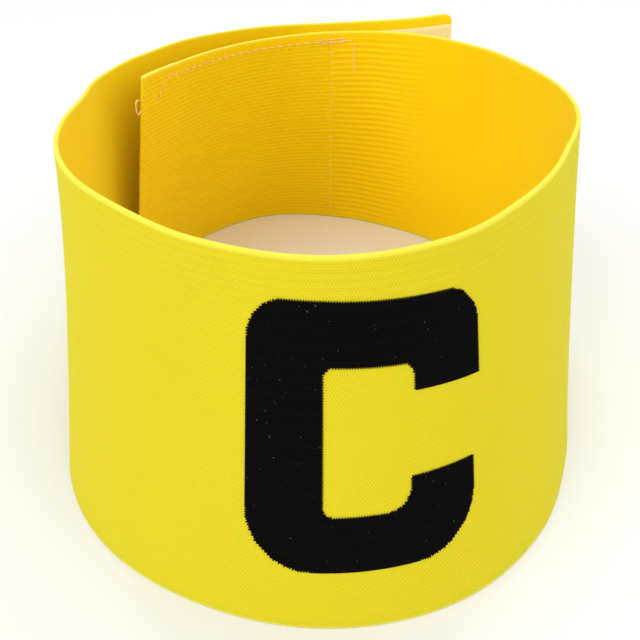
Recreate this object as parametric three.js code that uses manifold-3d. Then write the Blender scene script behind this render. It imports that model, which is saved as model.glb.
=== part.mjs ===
// Captain armband: one strip of woven elastic, wound into a loop that stands on its lower edge.
// The strip starts at its inner end, runs clockwise once round and goes on over itself to a free outer end.
// Millimetres, +Z up, the front towards -Y. The origin is under the middle of the armband.
import * as THREE from "three";
import { mergeVertices } from "three/addons/utils/BufferGeometryUtils.js";
import Module from "manifold-3d";

const wasm = await Module();
wasm.setup();

// Driving dimensions
const bandWidth = 60; // height of the standing strip
const bandThickness = 1.1;
const loopRadius = 61; // the radius that the plan's shares are taken of
const overlapLift = 1.6; // how much higher the outer turn lies, where it covers the inner one
const cornerRadius = 3; // corners of the free outer end
const innerHemLength = 17; // the strip's end, folded back onto its outer face
const outerHemLength = 10;
const hemThickness = 0.6;
const seatGap = 0.3; // clearance between the strip and what is sewn on it
const tapeThickness = 1.0; // both halves of the hook and loop fastener
const loopTapeMargin = 2; // bare strip above and below the loop tape
const hookTapeMargin = 3;
const loopTapeStart = 19; // from the inner end
const loopTapeLength = 57;
const hookTapeLength = 50;
const hookTapeInset = 0.4; // from the free end's edge
const letterHeight = 43.4;
const letterWidth = 38.4;
const letterStem = 11.8; // thickness of the upright stroke
const letterBar = 9.6; // thickness of the level strokes
const letterTopCorner = 6.5;
const letterBottomCorner = 10.5;
const letterInnerCorner = 2.2;
const letterCounterCorner = 4; // inside the lower end
const letterUpperEnd = { width: 12.3, height: 14 }; // height from the letter's top
const letterLowerEnd = { width: 11.1, height: 15, setBack: 1.8 }; // height from the letter's foot
const letterFoot = 10.5; // from the strip's lower edge to the letter's
const letterAzimuth = -85; // where the letter's middle faces, in degrees
const letterThickness = 0.4;

// Fineness of the facets
const stationStep = 3.2; // along the strip
const tapeStep = 4;
const letterStep = 1.8;
const rowCount = 5; // facets up the strip's width
const cornerSteps = 4; // facets in a quarter turn

// The plan of the loop, seen from above: azimuth in degrees from +X towards +Y, then the distance of the
// strip's middle layer from the loop's axis at its top and bottom edge, as shares of loopRadius, and the
// share of overlapLift.
const plan = [
  { azimuth: 157, top: 0.766, bottom: 0.93, lift: 0 },
  { azimuth: 140, top: 0.8, bottom: 0.99, lift: 0 },
  { azimuth: 122, top: 0.89, bottom: 1.11, lift: 0 },
  { azimuth: 104, top: 1.01, bottom: 1.2, lift: 0 },
  { azimuth: 88, top: 1.112, bottom: 1.16, lift: 0 },
  { azimuth: 70, top: 1.165, bottom: 1.08, lift: 0 },
  { azimuth: 50, top: 1.075, bottom: 1.015, lift: 0 },
  { azimuth: 30, top: 0.965, bottom: 0.985, lift: 0 },
  { azimuth: 10, top: 0.908, bottom: 0.972, lift: 0 },
  { azimuth: -10, top: 0.878, bottom: 0.984, lift: 0 },
  { azimuth: -30, top: 0.876, bottom: 1.03, lift: 0 },
  { azimuth: -45, top: 0.93, bottom: 1.14, lift: 0 },
  { azimuth: -60, top: 1.018, bottom: 1.292, lift: 0 },
  { azimuth: -75, top: 1.137, bottom: 1.408, lift: 0 },
  { azimuth: -90, top: 1.192, bottom: 1.442, lift: 0 },
  { azimuth: -105, top: 1.142, bottom: 1.403, lift: 0 },
  { azimuth: -120, top: 1.055, bottom: 1.322, lift: 0 },
  { azimuth: -135, top: 0.997, bottom: 1.185, lift: 0 },
  { azimuth: -150, top: 0.943, bottom: 1.006, lift: 0 },
  { azimuth: -165, top: 0.898, bottom: 0.928, lift: 0 },
  { azimuth: -182, top: 0.873, bottom: 0.935, lift: 0 },
  { azimuth: -200, top: 0.928, bottom: 1.005, lift: 0.1 },
  { azimuth: -218, top: 0.972, bottom: 1.09, lift: 0.6 },
  { azimuth: -236, top: 1.046, bottom: 1.22, lift: 1 },
  { azimuth: -256, top: 1.138, bottom: 1.31, lift: 1 },
  { azimuth: -272, top: 1.19, bottom: 1.25, lift: 1 },
  { azimuth: -282, top: 1.275, bottom: 1.28, lift: 1 },
  { azimuth: -289, top: 1.38, bottom: 1.39, lift: 1 },
  { azimuth: -295, top: 1.57, bottom: 1.57, lift: 1 },
];

const radians = THREE.MathUtils.degToRad;

// Slopes of a smooth curve through the plan's rows, for one of its columns.
function columnSlopes(column) {
  return plan.map((row, i) => {
    const before = plan[Math.max(i - 1, 0)];
    const after = plan[Math.min(i + 1, plan.length - 1)];
    return (after[column] - before[column]) / (after.azimuth - before.azimuth);
  });
}

const slopes = {
  top: columnSlopes("top"),
  bottom: columnSlopes("bottom"),
  lift: plan.map(() => 0),
};

// A column's value at an azimuth: a cubic between two rows, with their slopes.
function planValue(column, azimuth) {
  const last = plan.length - 2;
  const found = plan.findIndex((row, i) => i > 0 && azimuth >= row.azimuth) - 1;
  const i = found < 0 ? last : found;
  const span = plan[i + 1].azimuth - plan[i].azimuth;
  const t = (azimuth - plan[i].azimuth) / span;
  const squared = t * t;
  const cubed = squared * t;
  return (
    plan[i][column] * (2 * cubed - 3 * squared + 1) +
    plan[i + 1][column] * (3 * squared - 2 * cubed) +
    slopes[column][i] * span * (cubed - 2 * squared + t) +
    slopes[column][i + 1] * span * (cubed - squared)
  );
}

// The strip's middle layer at an azimuth and a share of its width, counted from the lower edge.
function middlePoint(azimuth, share) {
  const bottom = planValue("bottom", azimuth);
  const top = planValue("top", azimuth);
  const radius = loopRadius * THREE.MathUtils.lerp(bottom, top, share);
  const angle = radians(azimuth);
  return new THREE.Vector3(
    radius * Math.cos(angle),
    radius * Math.sin(angle),
    bandWidth * share + overlapLift * planValue("lift", azimuth),
  );
}

// The level direction that points out of the loop, square to the strip.
function outwardAt(azimuth, share) {
  const reach = 0.5;
  const ahead = middlePoint(azimuth - reach, share);
  const behind = middlePoint(azimuth + reach, share);
  return new THREE.Vector3(behind.y - ahead.y, ahead.x - behind.x, 0).normalize();
}

// Lengths along the strip at mid width, from the inner end, at fine steps of azimuth.
const startAzimuth = plan[0].azimuth;
const endAzimuth = plan[plan.length - 1].azimuth;
const lengthSteps = 2000;
const lengths = [0];
for (let i = 1; i <= lengthSteps; i++) {
  const from = THREE.MathUtils.lerp(startAzimuth, endAzimuth, (i - 1) / lengthSteps);
  const to = THREE.MathUtils.lerp(startAzimuth, endAzimuth, i / lengthSteps);
  lengths.push(lengths[i - 1] + middlePoint(from, 0.5).distanceTo(middlePoint(to, 0.5)));
}
const stripLength = lengths[lengthSteps];

function azimuthAt(length) {
  const above = Math.max(1, lengths.findIndex((value) => value >= length));
  const low = lengths[above - 1];
  const share = (length - low) / (lengths[above] - low);
  return THREE.MathUtils.lerp(startAzimuth, endAzimuth, (above - 1 + share) / lengthSteps);
}

function lengthAt(azimuth) {
  const place = ((azimuth - startAzimuth) / (endAzimuth - startAzimuth)) * lengthSteps;
  const below = Math.floor(place);
  return THREE.MathUtils.lerp(lengths[below], lengths[below + 1], place - below);
}

// A point off the middle layer: a length along the strip, a height across it and an offset outwards.
function stripPoint(length, height, offset) {
  const azimuth = azimuthAt(length);
  const share = height / bandWidth;
  return middlePoint(azimuth, share).addScaledVector(outwardAt(azimuth, share), offset);
}

// Even stations from one length to another.
function evenStations(from, to, step) {
  const count = Math.max(2, Math.ceil((to - from) / step));
  return Array.from({ length: count + 1 }, (_, i) => from + ((to - from) * i) / count);
}

// A closed curved plate on the strip. Each station gives a length, a low and a high edge, and the offsets
// of its inner and outer face. Its section is a closed ring of points, and caps close both ends.
function plateGeometry(stations, rows) {
  const ring = 2 * (rows + 1);
  const positions = [];
  for (const { length, low, high, inside, outside } of stations) {
    for (let row = 0; row <= rows; row++) {
      positions.push(...stripPoint(length, THREE.MathUtils.lerp(low, high, row / rows), outside));
    }
    for (let row = rows; row >= 0; row--) {
      positions.push(...stripPoint(length, THREE.MathUtils.lerp(low, high, row / rows), inside));
    }
  }
  const index = [];
  for (let i = 0; i < stations.length - 1; i++) {
    for (let j = 0; j < ring; j++) {
      const a = i * ring + j;
      const b = i * ring + ((j + 1) % ring);
      index.push(a, b, a + ring, b, b + ring, a + ring);
    }
  }
  const end = (stations.length - 1) * ring;
  for (let row = 0; row < rows; row++) {
    const facing = ring - 1 - row;
    index.push(row, facing, row + 1, row + 1, facing, facing - 1);
    index.push(end + row, end + row + 1, end + facing, end + row + 1, end + facing - 1, end + facing);
  }
  const geometry = new THREE.BufferGeometry();
  geometry.setAttribute("position", new THREE.Float32BufferAttribute(positions, 3));
  geometry.setIndex(index);
  return geometry;
}

// The strip itself, thicker where an end is folded back, with the free end's corners rounded.
function elasticBand() {
  const fold = 0.3; // length over which a hem's edge rises
  const hemEnd = innerHemLength;
  const outerHemStart = stripLength - outerHemLength;
  const roundStart = stripLength - cornerRadius;
  const cornerStations = [];
  for (let i = 1; i <= cornerSteps; i++) {
    cornerStations.push(roundStart + cornerRadius * Math.sin((Math.PI / 2) * (i / cornerSteps)));
  }
  const stationLengths = [
    ...evenStations(0, hemEnd, stationStep),
    ...evenStations(hemEnd + fold, outerHemStart - fold, stationStep),
    ...evenStations(outerHemStart, roundStart, stationStep),
    ...cornerStations,
  ];
  const stations = stationLengths.map((length) => {
    const into = Math.max(0, length - roundStart);
    const cut = cornerRadius - Math.sqrt(Math.max(0, cornerRadius ** 2 - into ** 2));
    const hemmed = length <= hemEnd || length >= outerHemStart;
    return {
      length,
      low: cut,
      high: bandWidth - cut,
      inside: -bandThickness / 2,
      outside: bandThickness / 2 + (hemmed ? hemThickness : 0),
    };
  });
  return plateGeometry(stations, rowCount);
}

// A fastener tape sewn flat on one face of the strip.
function tape(start, length, margin, side) {
  const near = side * (bandThickness / 2 + seatGap);
  const far = near + side * tapeThickness;
  const stations = evenStations(start, start + length, tapeStep).map((station) => ({
    length: station,
    low: margin,
    high: bandWidth - margin,
    inside: Math.min(near, far),
    outside: Math.max(near, far),
  }));
  return plateGeometry(stations, rowCount);
}

// The block letter's outline, its middle on x = 0 and its foot on y = 0.
function letterOutline() {
  const left = -letterWidth / 2;
  const right = letterWidth / 2;
  const lowerRight = right - letterLowerEnd.setBack;
  const stemRight = left + letterStem;
  const upperInner = right - letterUpperEnd.width;
  const lowerInner = lowerRight - letterLowerEnd.width;
  const corners = [
    { x: left, y: 0, radius: letterBottomCorner },
    { x: lowerRight, y: 0, radius: letterBottomCorner },
    { x: lowerRight, y: letterLowerEnd.height, radius: 0 },
    { x: lowerInner, y: letterLowerEnd.height, radius: 0 },
    { x: lowerInner, y: letterBar, radius: letterCounterCorner },
    { x: stemRight, y: letterBar, radius: letterInnerCorner },
    { x: stemRight, y: letterHeight - letterBar, radius: letterInnerCorner },
    { x: upperInner, y: letterHeight - letterBar, radius: letterInnerCorner },
    { x: upperInner, y: letterHeight - letterUpperEnd.height, radius: 0 },
    { x: right, y: letterHeight - letterUpperEnd.height, radius: 0 },
    { x: right, y: letterHeight, radius: letterTopCorner },
    { x: left, y: letterHeight, radius: letterTopCorner },
  ];
  return roundedShape(corners);
}

// A closed outline through corners, each turned on a curve of its own radius.
function roundedShape(corners) {
  const shape = new THREE.Shape();
  corners.forEach(({ x, y, radius }, i) => {
    const corner = new THREE.Vector2(x, y);
    const before = corners[(i + corners.length - 1) % corners.length];
    const after = corners[(i + 1) % corners.length];
    const back = new THREE.Vector2(before.x, before.y).sub(corner).setLength(radius);
    const on = new THREE.Vector2(after.x, after.y).sub(corner).setLength(radius);
    const start = back.add(corner);
    const end = on.add(corner);
    if (i === 0) {
      shape.moveTo(start.x, start.y);
    } else {
      shape.lineTo(start.x, start.y);
    }
    if (radius > 0) {
      shape.quadraticCurveTo(x, y, end.x, end.y);
    }
  });
  shape.closePath();
  return shape;
}

// A geometry as a manifold solid.
function toSolid(geometry) {
  const bare = geometry.clone();
  bare.deleteAttribute("normal");
  bare.deleteAttribute("uv");
  const merged = mergeVertices(bare, 1e-4);
  const mesh = new wasm.Mesh({
    numProp: 3,
    vertProperties: merged.attributes.position.array,
    triVerts: new Uint32Array(merged.index.array),
  });
  return new wasm.Manifold(mesh);
}

// A manifold solid as a geometry.
function toGeometry(solid) {
  const { vertProperties, triVerts } = solid.getMesh();
  const geometry = new THREE.BufferGeometry();
  geometry.setAttribute("position", new THREE.BufferAttribute(vertProperties, 3));
  geometry.setIndex(new THREE.BufferAttribute(triVerts, 1));
  return geometry;
}

// The letter: a thin plate that follows the strip's outer face, cut by the outline carried along the strip.
function captainLetter() {
  const middle = lengthAt(letterAzimuth);
  const near = bandThickness / 2 + seatGap;
  const sideRoom = 2 * letterStep;
  const half = letterWidth / 2 + sideRoom;
  const stations = evenStations(middle - half, middle + half, letterStep).map((length) => ({
    length,
    low: letterFoot / 2,
    high: (letterFoot + letterHeight + bandWidth) / 2,
    inside: near,
    outside: near + letterThickness,
  }));
  const plate = toSolid(plateGeometry(stations, rowCount));
  const cutDepth = letterWidth / 2;
  const cutter = new THREE.ExtrudeGeometry(letterOutline(), {
    depth: cutDepth,
    bevelEnabled: false,
    curveSegments: cornerSteps,
  });
  const place = cutter.attributes.position;
  for (let i = 0; i < place.count; i++) {
    const offset = near + place.getZ(i) - cutDepth / 2;
    const point = stripPoint(middle - place.getX(i), letterFoot + place.getY(i), offset);
    place.setXYZ(i, point.x, point.y, point.z);
  }
  return toGeometry(plate.intersect(toSolid(cutter)));
}

function namedMesh(name, geometry, color, roughness) {
  const material = new THREE.MeshStandardMaterial({ color, roughness, metalness: 0 });
  const mesh = new THREE.Mesh(geometry, material);
  mesh.name = name;
  return mesh;
}

const armband = new THREE.Group();
armband.add(
  namedMesh("elastic_band", elasticBand(), 0xf2dd22, 0.85),
  namedMesh("loop_tape", tape(loopTapeStart, loopTapeLength, loopTapeMargin, 1), 0xecd04a, 0.95),
  namedMesh(
    "hook_tape",
    tape(stripLength - hookTapeInset - hookTapeLength, hookTapeLength, hookTapeMargin, -1),
    0xe8c88c,
    0.7,
  ),
  namedMesh("captain_letter", captainLetter(), 0x0c0c0c, 0.8),
);

// The origin is moved under the middle of the whole armband.
const extent = new THREE.Box3().setFromObject(armband);
const centre = extent.getCenter(new THREE.Vector3());
armband.position.set(-centre.x, -centre.y, -extent.min.z);

export default armband;
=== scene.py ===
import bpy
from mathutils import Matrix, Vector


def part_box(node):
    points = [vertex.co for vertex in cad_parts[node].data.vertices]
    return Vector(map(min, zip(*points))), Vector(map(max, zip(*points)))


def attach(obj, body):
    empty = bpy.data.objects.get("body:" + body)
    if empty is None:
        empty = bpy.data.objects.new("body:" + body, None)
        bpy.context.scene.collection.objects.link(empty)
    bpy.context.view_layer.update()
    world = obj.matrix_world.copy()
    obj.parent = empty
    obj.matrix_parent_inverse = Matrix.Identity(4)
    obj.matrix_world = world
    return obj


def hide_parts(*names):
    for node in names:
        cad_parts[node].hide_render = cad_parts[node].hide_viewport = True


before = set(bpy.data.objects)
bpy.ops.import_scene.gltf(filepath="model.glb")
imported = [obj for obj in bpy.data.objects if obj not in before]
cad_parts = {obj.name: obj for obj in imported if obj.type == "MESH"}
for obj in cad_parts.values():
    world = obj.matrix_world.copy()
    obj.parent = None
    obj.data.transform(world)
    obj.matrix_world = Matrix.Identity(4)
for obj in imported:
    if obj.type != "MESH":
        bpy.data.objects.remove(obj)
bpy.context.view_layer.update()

import logging
import math
from dataclasses import dataclass, field
from enum import Enum

import bpy
import numpy as np
from mathutils import Vector

LOG = logging.getLogger("armband")
MM = 0.001
IMAGE_SIDE = 640
SENSOR = 36.0


class Side(Enum):
    """A face of the strip: which way it looks from the strip's middle layer."""

    OUTER = 1
    INNER = -1


# The plan of the loop seen from above: azimuth in degrees, distance of the strip's middle layer from the axis
# at its top and bottom edge as shares of the loop's radius, and share of the overlap's lift.
PLAN = np.array(
    [
        (157, 0.766, 0.93, 0),
        (140, 0.8, 0.99, 0),
        (122, 0.89, 1.11, 0),
        (104, 1.01, 1.2, 0),
        (88, 1.112, 1.16, 0),
        (70, 1.165, 1.08, 0),
        (50, 1.075, 1.015, 0),
        (30, 0.965, 0.985, 0),
        (10, 0.908, 0.972, 0),
        (-10, 0.878, 0.984, 0),
        (-30, 0.876, 1.03, 0),
        (-45, 0.93, 1.14, 0),
        (-60, 1.018, 1.292, 0),
        (-75, 1.137, 1.408, 0),
        (-90, 1.192, 1.442, 0),
        (-105, 1.142, 1.403, 0),
        (-120, 1.055, 1.322, 0),
        (-135, 0.997, 1.185, 0),
        (-150, 0.943, 1.006, 0),
        (-165, 0.898, 0.928, 0),
        (-182, 0.873, 0.935, 0),
        (-200, 0.928, 1.005, 0.1),
        (-218, 0.972, 1.09, 0.6),
        (-236, 1.046, 1.22, 1),
        (-256, 1.138, 1.31, 1),
        (-272, 1.19, 1.25, 1),
        (-282, 1.275, 1.28, 1),
        (-289, 1.38, 1.39, 1),
        (-295, 1.57, 1.57, 1),
    ],
    dtype=[("azimuth", float), ("top", float), ("bottom", float), ("lift", float)],
)


def ease(value: np.ndarray, low: float, high: float) -> np.ndarray:
    """A smooth step: 0 below low, 1 above high and 3t^2 - 2t^3 of the share t between them.

    Args:
        value: the numbers to step.
        low: where the step starts.
        high: where it ends.

    Returns:
        The stepped numbers, as an array of the same form.
    """
    t = np.clip((np.asarray(value, dtype=float) - low) / (high - low), 0.0, 1.0)
    return t * t * (3.0 - 2.0 * t)


@dataclass
class Strip:
    """The strip's course in space: where each length, height and offset of it lies, in millimetres."""

    width: float = 60.0
    thickness: float = 0.9
    radius: float = 61.0
    overlap_lift: float = 1.6
    fine_steps: int = 6000
    shift: np.ndarray = field(default_factory=lambda: np.zeros(3))

    def __post_init__(self) -> None:
        """Measures the strip's length at mid width along fine steps of azimuth."""
        self.azimuths = np.linspace(PLAN["azimuth"][0], PLAN["azimuth"][-1], self.fine_steps + 1)
        middle = self.middle(self.azimuths, np.full_like(self.azimuths, 0.5))
        steps = np.linalg.norm(np.diff(middle, axis=0), axis=1)
        self.lengths = np.concatenate([[0.0], np.cumsum(steps)])
        self.length = float(self.lengths[-1])

    def column(self, name: str, azimuth: np.ndarray) -> np.ndarray:
        """A column of the plan at azimuths: a cubic between two rows, with the slopes of their neighbours.

        Args:
            name: the plan's column.
            azimuth: where to read it, in degrees.

        Returns:
            The column's value at each azimuth.
        """
        x = -PLAN["azimuth"]
        y = PLAN[name]
        i = np.arange(len(x))
        before, after = np.maximum(i - 1, 0), np.minimum(i + 1, len(x) - 1)
        slope = (y[after] - y[before]) / (x[after] - x[before])
        if name == "lift":
            slope = np.zeros_like(slope)
        at = -np.asarray(azimuth, dtype=float)
        k = np.clip(np.searchsorted(x, at, side="right") - 1, 0, len(x) - 2)
        span = x[k + 1] - x[k]
        t = (at - x[k]) / span
        t2, t3 = t * t, t * t * t
        return (
            y[k] * (2 * t3 - 3 * t2 + 1)
            + y[k + 1] * (3 * t2 - 2 * t3)
            + slope[k] * span * (t3 - 2 * t2 + t)
            + slope[k + 1] * span * (t3 - t2)
        )

    def middle(self, azimuth: np.ndarray, share: np.ndarray) -> np.ndarray:
        """The middle layer: a point at the plan's radius for its height, raised by the overlap's lift.

        Args:
            azimuth: in degrees.
            share: height as a share of the strip's width.

        Returns:
            Points, with x, y and z in the last axis.
        """
        bottom, top = self.column("bottom", azimuth), self.column("top", azimuth)
        r = self.radius * (bottom + (top - bottom) * share)
        a = np.radians(azimuth)
        z = self.width * share + self.overlap_lift * self.column("lift", azimuth)
        return np.stack([r * np.cos(a), r * np.sin(a), z], axis=-1) + self.shift

    def outward(self, azimuth: np.ndarray, share: np.ndarray) -> np.ndarray:
        """The level direction out of the loop: the middle layer's run over a degree, turned a quarter."""
        run = self.middle(azimuth - 0.5, share) - self.middle(azimuth + 0.5, share)
        out = np.stack([-run[..., 1], run[..., 0], np.zeros_like(run[..., 0])], axis=-1)
        return out / np.linalg.norm(out, axis=-1, keepdims=True)

    def azimuth_at(self, length: np.ndarray) -> np.ndarray:
        """The azimuth at lengths along the strip."""
        return np.interp(length, self.lengths, self.azimuths)

    def length_at(self, azimuth: float) -> float:
        """The length along the strip at an azimuth."""
        return float(np.interp(-azimuth, -self.azimuths, self.lengths))

    def point(self, length: np.ndarray, height: np.ndarray, offset: np.ndarray) -> np.ndarray:
        """Points of the strip: middle layer at a length and height, moved outwards by an offset.

        Args:
            length: along the strip from its inner end.
            height: from its lower edge.
            offset: from its middle layer, outwards.

        Returns:
            Points in millimetres, with x, y and z in the last axis.
        """
        length, height, offset = np.broadcast_arrays(length, height, offset)
        azimuth = self.azimuth_at(length)
        share = height / self.width
        return self.middle(azimuth, share) + self.outward(azimuth, share) * offset[..., None]

    def centre_on(self, node: str) -> None:
        """Shifts the plan so that the strip's faces fill the box of a CAD node."""
        low, high = (np.array(corner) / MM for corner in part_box(node))
        lengths = np.linspace(0.0, self.length, self.fine_steps)
        edges = [(height, side) for height in (0.0, self.width) for side in Side]
        half = self.thickness / 2
        cloud = np.concatenate([self.point(lengths, height, side.value * half) for height, side in edges])
        own_middle = (cloud.min(axis=0) + cloud.max(axis=0)) / 2
        self.shift = (low + high) / 2 - own_middle
        self.shift[2] = low[2]


@dataclass
class Surface:
    """A mesh in the making: points, faces, the strip's own coordinates and other values at each point."""

    points: np.ndarray
    quads: np.ndarray
    strip_u: np.ndarray
    strip_v: np.ndarray
    marks: dict[str, np.ndarray] = field(default_factory=dict)
    caps: np.ndarray | None = None

    @staticmethod
    def grid_quads(rows: int, columns: int, close_columns: bool) -> np.ndarray:
        """Quads between neighbours of a grid of points, closed round each row if asked.

        Args:
            rows: stations along the surface.
            columns: points round each station.
            close_columns: whether the last column joins the first.

        Returns:
            Point numbers, four to a quad.
        """
        r = np.arange(rows - 1)[:, None]
        c = np.arange(columns if close_columns else columns - 1)[None, :]
        n = (c + 1) % columns
        here, ahead = r * columns, (r + 1) * columns
        return np.stack([here + c, here + n, ahead + n, ahead + c], axis=-1).reshape(-1, 4)

    def to_object(self, name: str, smooth: bool = True) -> bpy.types.Object:
        """Makes the mesh object, in metres, with the strip's coordinates as its UV map in centimetres.

        Args:
            name: the piece's name.
            smooth: whether its faces are shaded smooth.

        Returns:
            The object, linked to the scene.
        """
        mesh = bpy.data.meshes.new(name)
        caps = np.empty((0, 3), int) if self.caps is None else self.caps
        mesh.from_pydata((self.points * MM).tolist(), [], self.quads.tolist() + caps.tolist())
        corners = np.concatenate([self.quads.reshape(-1), caps.reshape(-1)])
        layer = mesh.uv_layers.new(name="strip")
        uv = np.stack([self.strip_u[corners], self.strip_v[corners]], axis=-1) / 10.0
        layer.data.foreach_set("uv", uv.astype(np.float32).reshape(-1))
        for mark, values in self.marks.items():
            attribute = mesh.attributes.new(mark, "FLOAT", "POINT")
            attribute.data.foreach_set("value", values.reshape(-1).astype(np.float32))
        mesh.polygons.foreach_set("use_smooth", np.full(len(mesh.polygons), smooth))
        mesh.validate()
        mesh.update()
        piece = bpy.data.objects.new(name, mesh)
        bpy.context.scene.collection.objects.link(piece)
        return piece


@dataclass
class ElasticBand:
    """The woven strip: both faces, round selvedges, folded ends and the ribs of its gathered inner end."""

    strip: Strip
    stations: int = 330
    outer_rows: int = 45
    inner_rows: int = 200
    edge_rows: int = 5
    inner_hem: float = 17.0
    outer_hem: float = 10.0
    hem_thickness: float = 0.55
    corner_radius: float = 3.0
    wide_rib: float = 1.65
    fine_rib: float = 1.15
    rib_height: float = 0.09
    seam: float = 76.0
    rib_end: float = 112.0

    def ring(self) -> tuple[np.ndarray, np.ndarray, np.ndarray]:
        """The section's ring: up the outer face, over the top edge on a half circle, down the inner face and
        back round the lower edge.

        Returns:
            Heights as shares of the width, rises of the edges beyond it from -1 to 1, and offsets from 1,
            outside, to -1, inside.
        """
        turn = np.linspace(0.0, math.pi, self.edge_rows + 2)[1:-1]
        up = np.linspace(0.0, 1.0, self.outer_rows)
        down = np.linspace(1.0, 0.0, self.inner_rows)
        heights = np.concatenate([up, np.ones_like(turn), down, np.zeros_like(turn)])
        rises = np.concatenate([0 * up, np.sin(turn), 0 * down, -np.sin(turn)])
        offsets = np.concatenate([np.ones_like(up), np.cos(turn), -np.ones_like(down), -np.cos(turn)])
        return heights, rises, offsets

    def station_lengths(self) -> np.ndarray:
        """Stations along the strip, even but for closer ones where a hem steps and at the free end."""
        s = self.strip.length
        even = np.linspace(0.0, s, self.stations)
        hem = self.inner_hem + np.linspace(-0.6, 0.9, 7)
        far_hem = s - self.outer_hem + np.linspace(-0.9, 0.6, 7)
        ends = np.array([0.08, 0.25, 0.5, 0.9])
        corner = s - self.corner_radius * (1 - np.sin(np.linspace(0.0, math.pi / 2, 10)))
        return np.unique(np.concatenate([even, hem, far_hem, ends, s - ends, corner]))

    def ribs(self, length: np.ndarray, height: np.ndarray) -> np.ndarray:
        """The gathered ribs, from -1 to 1: a sine up the strip whose crests wander a little along it.

        Beyond the tape's seam the ribs are wide and straight and fade out. Before it they are finer, and a
        second sine along the strip, shifted from rib to rib, breaks them into short dashes.
        """
        wander = 0.12 * np.sin(length / 7.0) + 0.1 * np.sin(length / 2.9 + height / 8.0)
        wide = np.sin(2 * math.pi * (height + wander) / self.wide_rib)
        row = np.floor(height / self.fine_rib)
        dashes = 0.55 + 0.45 * np.sin(2 * math.pi * length / 3.4 + 2.3 * row)
        fine = np.sin(2 * math.pi * height / self.fine_rib) * dashes
        past = ease(length, self.seam - 1.0, self.seam + 2.0)
        fade = 1 - ease(length, self.rib_end - 26.0, self.rib_end)
        edges = ease(height, 0.5, 3.0) * (1 - ease(height, self.strip.width - 3.5, self.strip.width - 0.8))
        return (0.75 * wide * past + 0.9 * fine * (1 - past)) * fade * edges

    def surface(self) -> Surface:
        """The closed skin: the ring carried along the strip, with hems, ribs and the free end's corners."""
        strip = self.strip
        heights, rises, offsets = (values[None, :] for values in self.ring())
        s = self.station_lengths()[:, None]
        half = strip.thickness / 2
        into = np.maximum(0.0, s - (strip.length - self.corner_radius))
        cut = self.corner_radius - np.sqrt(np.maximum(0.0, self.corner_radius**2 - into**2))
        cut = np.minimum(cut, self.corner_radius * 0.97)
        inner_end = (1 - ease(s, self.inner_hem - 0.2, self.inner_hem + 0.5)) * ease(s, 0.0, 2.0)
        outer_end = ease(s, strip.length - self.outer_hem - 0.5, strip.length - self.outer_hem + 0.2)
        hem = self.hem_thickness * (inner_end + outer_end)
        round_end = np.sqrt(np.clip(np.minimum(s, strip.length - s) / half, 0.02, 1.0))
        edge = half * 0.6
        height = edge + cut + (strip.width - 2 * (edge + cut)) * heights + rises * edge
        waver = 0.12 * np.sin(s / 23.0) * ease(height, strip.width * 0.8, strip.width)
        ribs = self.ribs(s, height)
        flat = (rises == 0) * np.where(offsets < 0, 1.0, 0.5)
        offset = (offsets * half + np.maximum(offsets, 0.0) * hem) * round_end + waver
        points = strip.point(s, height, offset + self.rib_height * ribs * flat)
        rows, columns = points.shape[:2]
        ring = np.arange(columns)
        grid = (rows, columns)
        return Surface(
            points.reshape(-1, 3),
            Surface.grid_quads(rows, columns, True)[:, ::-1],
            np.broadcast_to(s, grid).reshape(-1),
            height.reshape(-1),
            # relief: the ribs' height on the inner face, which the shader turns into painted shade in the
            # grooves.
            {"face_side": np.broadcast_to((1 - offsets) / 2, grid), "relief": ribs * (offsets < 0)},
            np.stack([ring, ring[::-1] + (rows - 1) * columns]),
        )

    def build(self, finish: "Finish", trimmings: list[bpy.types.Object]) -> bpy.types.Object:
        """Builds the strip's piece and dresses it.

        Args:
            finish: its material.
            trimmings: the pieces that are sewn on the strip; not used.

        Returns:
            The piece.
        """
        piece = self.surface().to_object("woven_strip")
        piece.data.materials.append(finish.material())
        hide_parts("elastic_band")
        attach(piece, "root")
        return piece


Place = tuple[float, float]

# The knot's rows of stitches: each one's start and end, along the strip and up it, from the seam's upper end.
KNOT = np.array(
    [
        (-4.5, 0.5, 4.2, 0.9),
        (-3.8, -0.6, 4.6, 0.1),
        (-4.2, 0.2, 3.6, -0.5),
        (-1.0, -2.2, 0.4, 1.6),
    ],
    dtype=[("start_along", float), ("start_up", float), ("end_along", float), ("end_up", float)],
)


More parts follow.
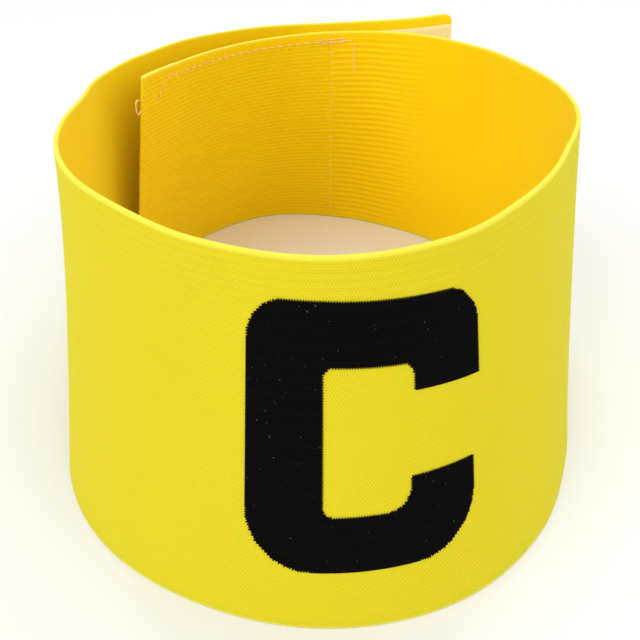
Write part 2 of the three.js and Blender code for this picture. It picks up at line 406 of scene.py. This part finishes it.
@dataclass
class Seams:
    """Rows of stitches on the strip: each stitch is a short arc of thread that dips into the cloth."""

    strip: Strip
    pitch: float = 2.9
    showing: float = 0.74
    radius: float = 0.17
    margin: float = 2.8
    first_row: float = 8.0
    last_row: float = 76.0
    rise: float = 0.24
    dip: float = 0.14
    hook_rows: tuple[float, float] = (5.0, 55.0)
    hook_start: float = 48.0
    outer_hem: float = 10.8
    outer_hem_row: float = 8.3
    hem_thickness: float = 0.55
    tube_stations: int = 9
    tube_sides: int = 6
    loop_stations: int = 40

    def row(self, start: Place, end: Place, side: Side, sunk: float, long: bool = False) -> np.ndarray:
        """Centre lines of a row's stitches: each runs straight in the strip's plane and rises as half a sine.

        Args:
            start: length and height where the row starts.
            end: length and height where it ends.
            side: the strip's face that it shows on.
            sunk: how deep the thread lies below the height of a loose one.
            long: whether the row is one long stitch.

        Returns:
            An array of stitches by stations by x, y and z.
        """
        first, last = np.array(start), np.array(end)
        count = 1 if long else max(1, round(float(np.linalg.norm(last - first)) / self.pitch))
        t = np.linspace(0.0, 1.0, self.tube_stations)[None, :]
        along = (np.arange(count)[:, None] + 0.12 + self.showing * t) / count
        place = first + (last - first) * along[..., None]
        rise = self.rise * np.sin(math.pi * t) - self.dip - sunk
        offset = side.value * (self.strip.thickness / 2 + rise + 0 * along)
        return self.strip.point(place[..., 0], place[..., 1], offset)

    def knot(self) -> np.ndarray:
        """The bunched end of the seam: short rows crossed over each other at the top of the tape's seam."""
        s, h = self.last_row, self.strip.width - self.margin
        rows = [self.row((s + a, h + b), (s + c, h + d), Side.INNER, -0.1) for a, b, c, d in KNOT.tolist()]
        return np.concatenate(rows)

    def loose_loop(self) -> np.ndarray:
        """A loose thread behind the inner end: an oval out of the hem and back, level with its stitches."""
        t = np.linspace(0.0, 1.0, self.loop_stations)
        start = self.strip.point(1.0, self.strip.width - 6.5, 0.5)
        back = self.strip.point(0.0, 50.0, 0.0) - self.strip.point(2.0, 50.0, 0.0)
        back /= np.linalg.norm(back)
        out = np.sin(math.pi * t)[:, None] * 2.9 * back
        drop = np.stack([0 * t, 0 * t, 1.4 * np.sin(2 * math.pi * t) - 1.2 * t], axis=-1)
        return (start + out + drop)[None, ...]

    def tubes(self, paths: np.ndarray) -> tuple[np.ndarray, np.ndarray, np.ndarray]:
        """Round tubes on centre lines: a circle square to the path, thinner towards its ends.

        Args:
            paths: an array of tubes by stations by x, y and z.

        Returns:
            Points, quads and end faces, numbered from 0.
        """
        count, stations = paths.shape[:2]
        sides = self.tube_sides
        run = np.gradient(paths, axis=1)
        run /= np.linalg.norm(run, axis=-1, keepdims=True)
        level = np.stack([-paths[..., 1], paths[..., 0], 3.0 + 0 * paths[..., 0]], axis=-1)
        first = np.cross(run, level)
        first /= np.linalg.norm(first, axis=-1, keepdims=True)
        second = np.cross(run, first)
        t = np.linspace(-1.0, 1.0, stations)
        radius = (self.radius * np.sqrt(1.0 - 0.8 * t**6))[None, :, None, None]
        turn = np.linspace(0.0, 2 * math.pi, sides, endpoint=False)[None, None, :, None]
        circle = np.cos(turn) * first[..., None, :] + np.sin(turn) * second[..., None, :]
        points = (paths[..., None, :] + radius * circle).reshape(-1, 3)
        starts = np.arange(count)[:, None, None] * stations * sides
        quads = (Surface.grid_quads(stations, sides, True)[None, ...] + starts).reshape(-1, 4)
        ring = np.stack([np.arange(sides)[::-1], np.arange(sides) + (stations - 1) * sides])
        return points, quads, (ring[None, ...] + starts).reshape(-1, sides)

    def build(self, finish: "Finish") -> bpy.types.Object:
        """Builds all seams as one piece.

        Args:
            finish: its material.

        Returns:
            The piece.
        """
        low, high = self.margin, self.strip.width - self.margin
        a, b = self.first_row, self.last_row
        length = self.strip.length
        near, far, hem = length - self.hook_start, length - self.outer_hem, length - self.outer_hem_row
        foot, head = self.hook_rows
        stitches = np.concatenate(
            [
                self.row((a, 52.5), (a + 2.6, high - 0.6), Side.INNER, 0.0),
                self.row((a + 3.5, high), (b - 3.0, high), Side.INNER, 0.0),
                self.knot(),
                self.row((b + 1.5, high + 0.3), (b + 7.6, high + 0.1), Side.INNER, -0.02, long=True),
                self.row((b + 6.6, high + 1.2), (b + 6.9, 46.5), Side.INNER, -0.02, long=True),
                self.row((b, high - 2.0), (b, low), Side.INNER, 0.15),
                self.row((near, foot), (far, foot), Side.OUTER, 0.0),
                self.row((near, head), (far, head), Side.OUTER, 0.0),
                self.row((near, foot), (near, head), Side.OUTER, 0.0),
                self.row((hem, foot), (hem, head), Side.OUTER, -self.hem_thickness),
            ]
        )
        points, quads, caps = self.tubes(stitches)
        more_points, more_quads, more_caps = self.tubes(self.loose_loop())
        quads = np.concatenate([quads, more_quads + len(points)])
        caps = np.concatenate([caps, more_caps + len(points)])
        points = np.concatenate([points, more_points])
        blank = np.zeros(len(points))
        piece = Surface(points, quads, blank, blank, caps=caps).to_object("stitches")
        piece.data.materials.append(finish.material())
        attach(piece, "root")
        return piece


class Sock:
    """A shader socket with arithmetic: an expression on values adds its Math nodes."""

    def __init__(self, tree: "Tree", socket: bpy.types.NodeSocket) -> None:
        """Wraps a socket of a tree."""
        self.tree = tree
        self.socket = socket

    def math(self, operation: str, other: object = None, third: object = None) -> "Sock":
        """A Math node on this value and up to two others."""
        values = [self] + [v for v in (other, third) if v is not None]
        return self.tree.node("ShaderNodeMath", {"operation": operation}, dict(enumerate(values)))

    def __add__(self, other: object) -> "Sock":
        """Sum."""
        return self.math("ADD", other)

    __radd__ = __add__

    def __mul__(self, other: object) -> "Sock":
        """Product."""
        return self.math("MULTIPLY", other)

    __rmul__ = __mul__

    def __sub__(self, other: object) -> "Sock":
        """Difference."""
        return self.math("SUBTRACT", other)

    def __rsub__(self, other: float) -> "Sock":
        """Difference from a number."""
        return self.math("MULTIPLY_ADD", -1.0, other)

    def __truediv__(self, other: object) -> "Sock":
        """Quotient."""
        return self.math("DIVIDE", other)

    def sin(self) -> "Sock":
        """Sine."""
        return self.math("SINE")

    def floor(self) -> "Sock":
        """Whole part."""
        return self.math("FLOOR")

    def abs(self) -> "Sock":
        """Value without its sign."""
        return self.math("ABSOLUTE")

    def step(self, low: float, high: float) -> "Sock":
        """Smooth step from 0 at low to 1 at high."""
        settings = {"interpolation_type": "SMOOTHSTEP"}
        return self.tree.node("ShaderNodeMapRange", settings, {0: self, 1: low, 2: high, 3: 0.0, 4: 1.0})


class Tree:
    """A material's node tree: one method makes any node."""

    def __init__(self, name: str) -> None:
        """Starts a material with an empty tree."""
        self.made = bpy.data.materials.new(name)
        self.made.use_nodes = True
        self.nodes = self.made.node_tree.nodes
        self.links = self.made.node_tree.links
        self.nodes.clear()

    def node(
        self, kind: str, settings: dict | None = None, values: dict | None = None, out: object = 0
    ) -> Sock:
        """Makes a node: settings first, then the values or links of its sockets.

        Args:
            kind: the node's type.
            settings: its properties.
            values: socket name or number to value or Sock.
            out: the output to return.

        Returns:
            The chosen output.
        """
        made = self.nodes.new(kind)
        for key, value in (settings or {}).items():
            setattr(made, key, value)
        for key, value in (values or {}).items():
            socket = made.inputs[key]
            if isinstance(value, Sock):
                self.links.new(value.socket, socket)
            else:
                socket.default_value = value
        return Sock(self, made.outputs[out])

    def mix(self, share: object, first: object, second: object) -> Sock:
        """A colour between two, by share."""
        settings = {"data_type": "RGBA"}
        return self.node("ShaderNodeMix", settings, {0: share, 6: first, 7: second}, out=2)

    def strip_coordinates(self) -> tuple[Sock, Sock]:
        """Length along the strip and height across it, in millimetres, from the UV map."""
        uv = self.node("ShaderNodeUVMap", {"uv_map": "strip"})
        split = self.node("ShaderNodeSeparateXYZ", {}, {0: uv})
        high = Sock(self, split.socket.node.outputs[1])
        return split * 10.0, high * 10.0

    def noise(self, where: object, scale: float, detail: float = 2.0) -> Sock:
        """Noise from 0 to 1 at a place."""
        return self.node("ShaderNodeTexNoise", {}, {"Vector": where, "Scale": scale, "Detail": detail})

    def finish(self, values: dict) -> bpy.types.Material:
        """Closes the tree with a Principled shader whose sockets take values or links.

        Args:
            values: socket name to value or Sock.

        Returns:
            The material.
        """
        shader = self.node("ShaderNodeBsdfPrincipled", {}, values)
        self.node_output(shader)
        return self.made

    def node_output(self, shader: Sock) -> None:
        """Links a shader to the material's output."""
        output = self.nodes.new("ShaderNodeOutputMaterial")
        self.links.new(shader.socket, output.inputs["Surface"])


Colour = tuple[float, float, float, float]


def linear(red: int, green: int, blue: int) -> Colour:
    """A colour from its 0 to 255 display values, as the shader's linear light."""
    shares = np.array([red, green, blue]) / 255.0
    values = np.where(shares <= 0.04045, shares / 12.92, ((shares + 0.055) / 1.055) ** 2.4)
    return (*[float(v) for v in values], 1.0)


class Finish:
    """A finish of the armband: it makes one material."""

    def material(self) -> bpy.types.Material:
        """The material."""
        raise NotImplementedError


@dataclass(frozen=True)
class WovenElastic(Finish):
    """Fine woven elastic: staggered dots of yarn in level courses, a bright selvedge, light through it, and
    an inner face coloured brighter and more orange as painted glow.
    """

    outside: Colour = linear(221, 208, 36)
    outside_shade: Colour = linear(186, 168, 14)
    # inside and inside_shade: the outer cloth's colours made brighter and more orange, as painted glow of the
    # light inside the loop.
    inside: Colour = linear(255, 217, 5)
    inside_shade: Colour = linear(226, 176, 3)
    pale: Colour = linear(236, 226, 84)
    course: float = 0.42
    wale: float = 0.55
    depth: float = 0.08
    width: float = 60.0
    glow: float = 0.3

    def material(self) -> bpy.types.Material:
        """The weave: a sine across the strip times a sine along it, shifted by half on every other course.

        Slow noise makes the dots stronger in some patches than in others, the ribs' grooves are darker as
        painted shade, and faint level stripes lie along the upper edge.
        """
        tree = Tree("woven_elastic")
        along, across = tree.strip_coordinates()
        face = tree.node("ShaderNodeAttribute", {"attribute_name": "face_side"}, out="Fac")
        relief = tree.node("ShaderNodeAttribute", {"attribute_name": "relief"}, out="Fac")
        place = tree.node("ShaderNodeTexCoord", out="Object")
        patch = tree.noise(place, 70.0)
        course = across / self.course + patch * 0.9
        stagger = course.floor().math("MODULO", 2.0) * 0.5
        wale = along / self.wale + stagger + patch * 0.5
        yarn = (course * math.pi).sin().abs() * ((wale * (2 * math.pi)).sin() * 0.5 + 0.5)
        cloudy = tree.noise(place, 25.0, 3.0)
        speck = tree.noise(place, 1400.0, 1.0)
        stripes = (across * (2 * math.pi / 1.25)).sin() * across.step(self.width - 14.0, self.width - 4.0)
        # The inner face's colours are the same cloth with painted glow: brighter and more orange than the
        # outer face's.
        base = tree.mix(face, self.outside, self.inside)
        shade = tree.mix(face, self.outside_shade, self.inside_shade)
        dots = (0.32 - yarn) * patch.step(0.15, 0.7) * 0.6
        dark = dots + 0.24 + (cloudy - 0.5) * 0.12 + stripes * (1.0 - face) * 0.04
        # Painted shade: the inner face's ribs darken the colour in their grooves and lighten it on their
        # crests.
        shaded = tree.mix(dark - relief * 0.42 + relief.abs() * 0.12, base, shade)
        edge = across.step(0.8, 0.3) + across.step(self.width - 0.8, self.width - 0.3)
        scallop = (wale * (2 * math.pi)).sin() * 0.14 + 0.72
        colour = tree.mix(edge * scallop, shaded, self.pale)
        height = yarn + speck * 0.25
        bump = {"Strength": 0.6, "Distance": self.depth * MM, "Height": height}
        normal = tree.node("ShaderNodeBump", {}, bump)
        return tree.finish(
            {
                "Base Color": colour,
                "Roughness": 0.85,
                "Specular IOR Level": 0.12,
                "Subsurface Weight": self.glow,
                "Subsurface Radius": (1.0, 0.72, 0.03),
                "Subsurface Scale": 3.0 * MM,
                "Sheen Weight": 0.12,
                "Sheen Roughness": 0.45,
                "Sheen Tint": linear(255, 250, 140),
                "Normal": normal,
            }
        )


@dataclass(frozen=True)
class LetterYarn(Finish):
    """Black yarn woven into the face, with the strip's dots and a few pale specks."""

    yarn: Colour = linear(7, 6, 6)
    # The lighter grey of the weave's raised dots and level streaks.
    pale_grey: Colour = linear(22, 21, 19)
    fleck: Colour = linear(70, 67, 54)
    course: float = 0.42
    wale: float = 0.55

    def material(self) -> bpy.types.Material:
        """The strip's weave in black, with noise that lightens single points and a few level streaks."""
        tree = Tree("letter_yarn")
        along, across = tree.strip_coordinates()
        place = tree.node("ShaderNodeTexCoord", out="Object")
        course = across / self.course
        stagger = course.floor().math("MODULO", 2.0) * 0.5
        along_wave = ((along / self.wale + stagger) * (2 * math.pi)).sin() * 0.5 + 0.5
        yarn = (course * math.pi).sin().abs() * along_wave
        streak = (across * (2 * math.pi / 2.6)).sin().step(0.86, 1.0)
        speck = tree.noise(place, 1700.0, 1.0).step(0.75, 0.79)
        # Lighter grey on the weave's raised dots and along level streaks.
        colour = tree.mix(yarn * 0.3 + streak * 0.12, self.yarn, self.pale_grey)
        flecked = tree.mix(speck, colour, self.fleck)
        normal = tree.node("ShaderNodeBump", {}, {"Strength": 0.4, "Distance": 0.08 * MM, "Height": yarn})
        return tree.finish(
            {"Base Color": flecked, "Roughness": 0.9, "Specular IOR Level": 0.04, "Normal": normal}
        )


@dataclass(frozen=True)
class TapeGrain(Finish):
    """A fastener tape: a close grain of pile or hooks over a plain ground."""

    name: str
    ground: Colour
    tip: Colour
    pitch: float
    roughness: float

    def material(self) -> bpy.types.Material:
        """Rows of small knobs: the product of two sines, with noise between them."""
        tree = Tree(self.name)
        along, across = tree.strip_coordinates()
        place = tree.node("ShaderNodeTexCoord", out="Object")
        turn = math.pi / self.pitch
        knob = ((along * turn).sin() * (across * turn).sin()).abs()
        fuzz = tree.noise(place, 900.0, 3.0)
        colour = tree.mix(knob * 0.6 + fuzz * 0.4, self.ground, self.tip)
        height = knob + fuzz * 0.8
        normal = tree.node("ShaderNodeBump", {}, {"Strength": 0.6, "Distance": 0.08 * MM, "Height": height})
        constants = {"Roughness": self.roughness, "Specular IOR Level": 0.2}
        return tree.finish({"Base Color": colour, "Normal": normal} | constants)


@dataclass(frozen=True)
class SewingThread(Finish):
    """Twisted sewing thread with a soft sheen."""

    light: Colour = linear(255, 224, 150)
    dark: Colour = linear(238, 190, 112)

    def material(self) -> bpy.types.Material:
        """Fine noise between a light and a dark thread colour."""
        tree = Tree("sewing_thread")
        place = tree.node("ShaderNodeTexCoord", out="Object")
        grain = tree.noise(place, 1500.0, 2.0)
        colour = tree.mix(grain, self.light, self.dark)
        normal = tree.node("ShaderNodeBump", {}, {"Strength": 0.4, "Distance": 0.05 * MM, "Height": grain})
        return tree.finish({"Base Color": colour, "Roughness": 0.6, "Sheen Weight": 0.2, "Normal": normal})


@dataclass
class Tape:
    """One half of the fastener: a thin padded plate on a face of the strip."""

    strip: Strip
    name: str
    node: str
    slot: str
    start: float
    length: float
    side: Side
    margin: float
    thickness: float = 0.9
    knob_pitch: float = 1.3
    knob_height: float = 0.04
    seat_gap: float = 0.06
    round_edge: float = 0.7
    edge_share: float = 0.55
    stations: int = 120
    rows: int = 110

    def build(self, finish: Finish) -> bpy.types.Object:
        """Builds the tape: a grid round the plate's section, knobbed on its open face.

        Args:
            finish: its material.

        Returns:
            The piece.
        """
        strip = self.strip
        up = np.linspace(self.margin, strip.width - self.margin, self.rows)
        ring_height = np.concatenate([up, up[::-1]])
        open_face = np.concatenate([np.ones_like(up), np.zeros_like(up)])
        s = np.linspace(self.start, self.start + self.length, self.stations)[:, None]
        near = strip.thickness / 2 + self.seat_gap
        edge = np.minimum(ring_height - self.margin, strip.width - self.margin - ring_height)[None, :]
        ends = np.minimum(s - self.start, self.start + self.length - s)
        round_off = ease(np.minimum(edge, ends), 0.0, self.round_edge)
        turn = math.pi / self.knob_pitch
        knob = np.sin(s * turn) * np.sin(ring_height[None, :] * turn)
        pad = self.thickness * (self.edge_share + (1.0 - self.edge_share) * round_off)
        depth = (pad + self.knob_height * knob * round_off) * open_face
        offset = self.side.value * (near + depth)
        height = ring_height[None, :] + 0 * s
        points = strip.point(s + 0 * height, height, offset)
        columns = points.shape[1]
        ring = np.arange(columns)
        caps = np.stack([ring, ring[::-1] + (self.stations - 1) * columns])
        quads = Surface.grid_quads(self.stations, columns, True)[:, ::-1]
        if self.side is Side.INNER:
            quads, caps = quads[:, ::-1], caps[:, ::-1]
        along = np.broadcast_to(s, height.shape).reshape(-1)
        skin = Surface(points.reshape(-1, 3), quads, along, height.reshape(-1), caps=caps)
        piece = skin.to_object(self.name)
        piece.data.materials.append(finish.material())
        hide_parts(self.node)
        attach(piece, "root")
        return piece


@dataclass
class CaptainLetter:
    """The block letter, made of the weave's own cells, so that its edges step as woven ones do."""

    strip: Strip
    height: float = 43.4
    width: float = 38.4
    stem: float = 11.8
    bar: float = 9.6
    top_corner: float = 6.3
    bottom_corner: float = 10.2
    inner_corner: float = 2.0
    counter_corner: float = 4.0
    upper_end: tuple[float, float] = (12.3, 14.0)
    lower_end: tuple[float, float] = (11.1, 15.0)
    set_back: float = 1.8
    foot: float = 10.5
    azimuth: float = -85.0
    cell: float = 0.21
    tooth: float = 0.2
    droop: float = 1.25
    droop_start: float = 8.0
    spare_cells: int = 4
    proud: float = 0.12
    rooted: float = 0.15

    def outside_of(self, x: np.ndarray, y: np.ndarray, box: tuple, corners: tuple) -> np.ndarray:
        """Signed distance to a box with a radius at each corner: below 0 inside.

        Args:
            x: across the letter.
            y: up the letter.
            box: left, right, low and high side.
            corners: radii at low left, low right, high left and high right.

        Returns:
            Distances in millimetres.
        """
        left, right, low, high = box
        cx, cy = (left + right) / 2, (low + high) / 2
        px, py = x - cx, y - cy
        lower = np.where(px < 0, corners[0], corners[1])
        upper = np.where(px < 0, corners[2], corners[3])
        r = np.where(py < 0, lower, upper)
        qx = np.abs(px) - (right - left) / 2 + r
        qy = np.abs(py) - (high - low) / 2 + r
        return np.hypot(np.maximum(qx, 0), np.maximum(qy, 0)) + np.minimum(np.maximum(qx, qy), 0) - r

    def holds(self, x: np.ndarray, y: np.ndarray) -> np.ndarray:
        """Whether points lie in the letter: its round box, less the counter and the mouth between its ends.

        The right side stands further back below mid height, which the mouth hides.
        """
        w = self.width / 2
        low = y < self.height / 2
        side = np.where(low, w - self.set_back, w)
        end = np.where(low, self.lower_end[0], self.upper_end[0])
        corners = (self.bottom_corner,) * 2 + (self.top_corner,) * 2
        body = self.outside_of(x, y, (-w, side, 0.0, self.height), corners)
        r = self.inner_corner
        inner = (-w + self.stem, side - end, self.bar, self.height - self.bar)
        counter = self.outside_of(x, y, inner, (r, self.counter_corner, r, r))
        mouth_box = (0.0, self.width, self.lower_end[1], self.height - self.upper_end[1])
        mouth = self.outside_of(x, y, mouth_box, (0.0,) * 4)
        return (body < 0) & (counter > 0) & (mouth > 0)

    def drooped(self, x: np.ndarray, y: np.ndarray) -> np.ndarray:
        """Heights with the upper stroke's droop: it grows evenly from left of the middle to the right end."""
        past = np.clip((x + self.droop_start) / (self.width / 2 + self.droop_start), 0.0, 1.0)
        return y - self.droop * past * ease(y, self.lower_end[1], self.height - self.upper_end[1])

    def build(self, finish: Finish) -> bpy.types.Object:
        """Builds the letter from the cells it holds: faces in front, behind and round the rim.

        Args:
            finish: its material.

        Returns:
            The piece.
        """
        spare = self.spare_cells * self.cell
        half = self.width / 2 + spare
        columns = int(2 * half / self.cell)
        rows = int((self.height + 2 * spare) / self.cell)
        x_edge = -half + np.arange(columns + 1) * self.cell
        y_edge = -spare + np.arange(rows + 1) * self.cell
        middle_x = (x_edge[:-1] + x_edge[1:]) / 2
        middle_y = (y_edge[:-1] + y_edge[1:]) / 2
        teeth_x = self.tooth * (np.arange(rows) % 2 - 0.5)
        teeth_y = self.tooth * (np.arange(columns) % 2 - 0.5)
        inside = self.holds(middle_x[None, :] + teeth_x[:, None], middle_y[:, None] + teeth_y[None, :])
        middle = self.strip.length_at(self.azimuth)
        gx, gy = np.meshgrid(x_edge, y_edge)
        up = self.foot + self.drooped(gx, gy)
        face = self.strip.thickness / 2
        count = gx.size
        front = self.strip.point(middle - gx, up, face + self.proud)
        back = self.strip.point(middle - gx, up, face - self.rooted)
        points = np.concatenate([front.reshape(-1, 3), back.reshape(-1, 3)])
        r, c = np.nonzero(inside)
        n = columns + 1
        a, b, d, e = r * n + c, r * n + c + 1, (r + 1) * n + c + 1, (r + 1) * n + c
        faces = [np.stack([a, b, d, e], -1), np.stack([e, d, b, a], -1) + count]
        padded = np.pad(inside, 1)
        for dr, dc, one, two in ((-1, 0, a, b), (0, 1, b, d), (1, 0, d, e), (0, -1, e, a)):
            open_side = ~padded[r + 1 + dr, c + 1 + dc]
            p, q = one[open_side], two[open_side]
            faces.append(np.stack([q, p, p + count, q + count], -1))
        quads = np.concatenate(faces)
        used, fresh = np.unique(quads, return_inverse=True)
        u = np.tile((middle - gx).reshape(-1), 2)[used]
        v = np.tile(up.reshape(-1), 2)[used]
        piece = Surface(points[used], fresh.reshape(-1, 4), u, v).to_object("letter_weave", False)
        piece.data.materials.append(finish.material())
        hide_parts("captain_letter")
        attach(piece, "root")
        return piece


@dataclass
class Studio:
    """The plain floor, soft lights and the camera at the photograph's angle."""

    floor_half: float = 3.0
    focal_px: float = 767.8
    pitch_deg: float = 32.44
    camera_back: float = 2.7308
    camera_high: float = 1.7899
    camera_side: float = -0.0118
    sky: float = 0.8
    floor_tone: float = 0.81
    floor_roughness: float = 0.22

    def camera(self, strip: Strip) -> None:
        """Stands the camera before the loop, in loop radii from its axis, and tips it down.

        Args:
            strip: gives the loop's radius and place.
        """
        data = bpy.data.cameras.new("camera")
        data.sensor_width = SENSOR
        data.lens = self.focal_px * SENSOR / IMAGE_SIDE
        data.clip_start = 0.005
        cam = bpy.data.objects.new("camera", data)
        place = np.array([self.camera_side, -self.camera_back, self.camera_high]) * strip.radius + strip.shift
        cam.location = Vector(place * MM)
        cam.rotation_euler = (math.radians(90.0 - self.pitch_deg), 0.0, 0.0)
        bpy.context.scene.collection.objects.link(cam)
        bpy.context.scene.camera = cam

    def sun(self, name: str, source: tuple[float, float, float], spread: float, strength: float) -> None:
        """A broad even light from one direction.

        Args:
            name: its name.
            source: the direction that it comes from.
            spread: the angle of sky that it fills, in degrees.
            strength: light on a face turned to it, in watts per square metre.
        """
        data = bpy.data.lights.new(name, "SUN")
        data.angle = math.radians(spread)
        data.energy = strength
        lamp = bpy.data.objects.new(name, data)
        lamp.rotation_euler = Vector(source).to_track_quat("Z", "Y").to_euler()
        bpy.context.scene.collection.objects.link(lamp)

    def build(self, strip: Strip) -> None:
        """Builds floor, world, lights and camera.

        Args:
            strip: gives the camera its distances.
        """
        scene = bpy.context.scene
        scene.view_settings.view_transform = "Standard"
        world = bpy.data.worlds.new("studio")
        world.use_nodes = True
        world.node_tree.nodes["Background"].inputs["Color"].default_value = (1.0, 1.0, 1.0, 1.0)
        world.node_tree.nodes["Background"].inputs["Strength"].default_value = self.sky
        scene.world = world
        h = self.floor_half
        mesh = bpy.data.meshes.new("floor")
        mesh.from_pydata([(-h, -h, 0), (h, -h, 0), (h, h, 0), (-h, h, 0)], [], [(0, 1, 2, 3)])
        floor = bpy.data.objects.new("floor", mesh)
        scene.collection.objects.link(floor)
        tree = Tree("floor_gloss")
        tone = (self.floor_tone,) * 3 + (1.0,)
        gloss = {"Roughness": self.floor_roughness, "Specular IOR Level": 0.35}
        mesh.materials.append(tree.finish({"Base Color": tone} | gloss))
        self.sun("key", (-0.6, -0.45, 0.6), 50.0, 1.15)
        self.sun("fill", (0.5, -0.5, 0.45), 50.0, 0.7)
        self.sun("back", (0.15, 0.6, 0.75), 50.0, 0.75)
        self.camera(strip)


def main() -> None:
    """Builds the armband piece by piece, then the studio."""
    logging.basicConfig(level=logging.INFO, format="%(name)s: %(message)s")
    strip = Strip()
    strip.centre_on("elastic_band")
    LOG.info("strip is %.1f mm long", strip.length)
    stitches = Seams(strip).build(SewingThread())
    letter = CaptainLetter(strip).build(LetterYarn())
    loop_finish = TapeGrain("loop_pile", linear(214, 176, 40), linear(244, 214, 80), 0.8, 0.95)
    # The hook tape's own beige is made brighter and yellower here as painted glow from the yellow cloth round
    # it.
    hook_finish = TapeGrain("hook_tape", linear(246, 216, 138), linear(250, 224, 152), 0.7, 0.6)
    loop_tape = Tape(
        strip, "loop_pile", "loop_tape", "loop_pile", start=19.0, length=57.0, side=Side.OUTER, margin=2.0
    )
    hook_start = strip.length - 50.4
    hook_tape = Tape(
        strip, "hook_strip", "hook_tape", "hook_tape", hook_start, length=50.0, side=Side.INNER, margin=3.0
    )
    pieces = [
        stitches,
        letter,
        loop_tape.build(loop_finish),
        hook_tape.build(hook_finish),
        ElasticBand(strip).build(WovenElastic(), [stitches, letter]),
    ]
    for piece in pieces:
        LOG.info("%s has %d faces", piece.name, len(piece.data.polygons))
    Studio().build(strip)


if __name__ == "__main__":
    main()
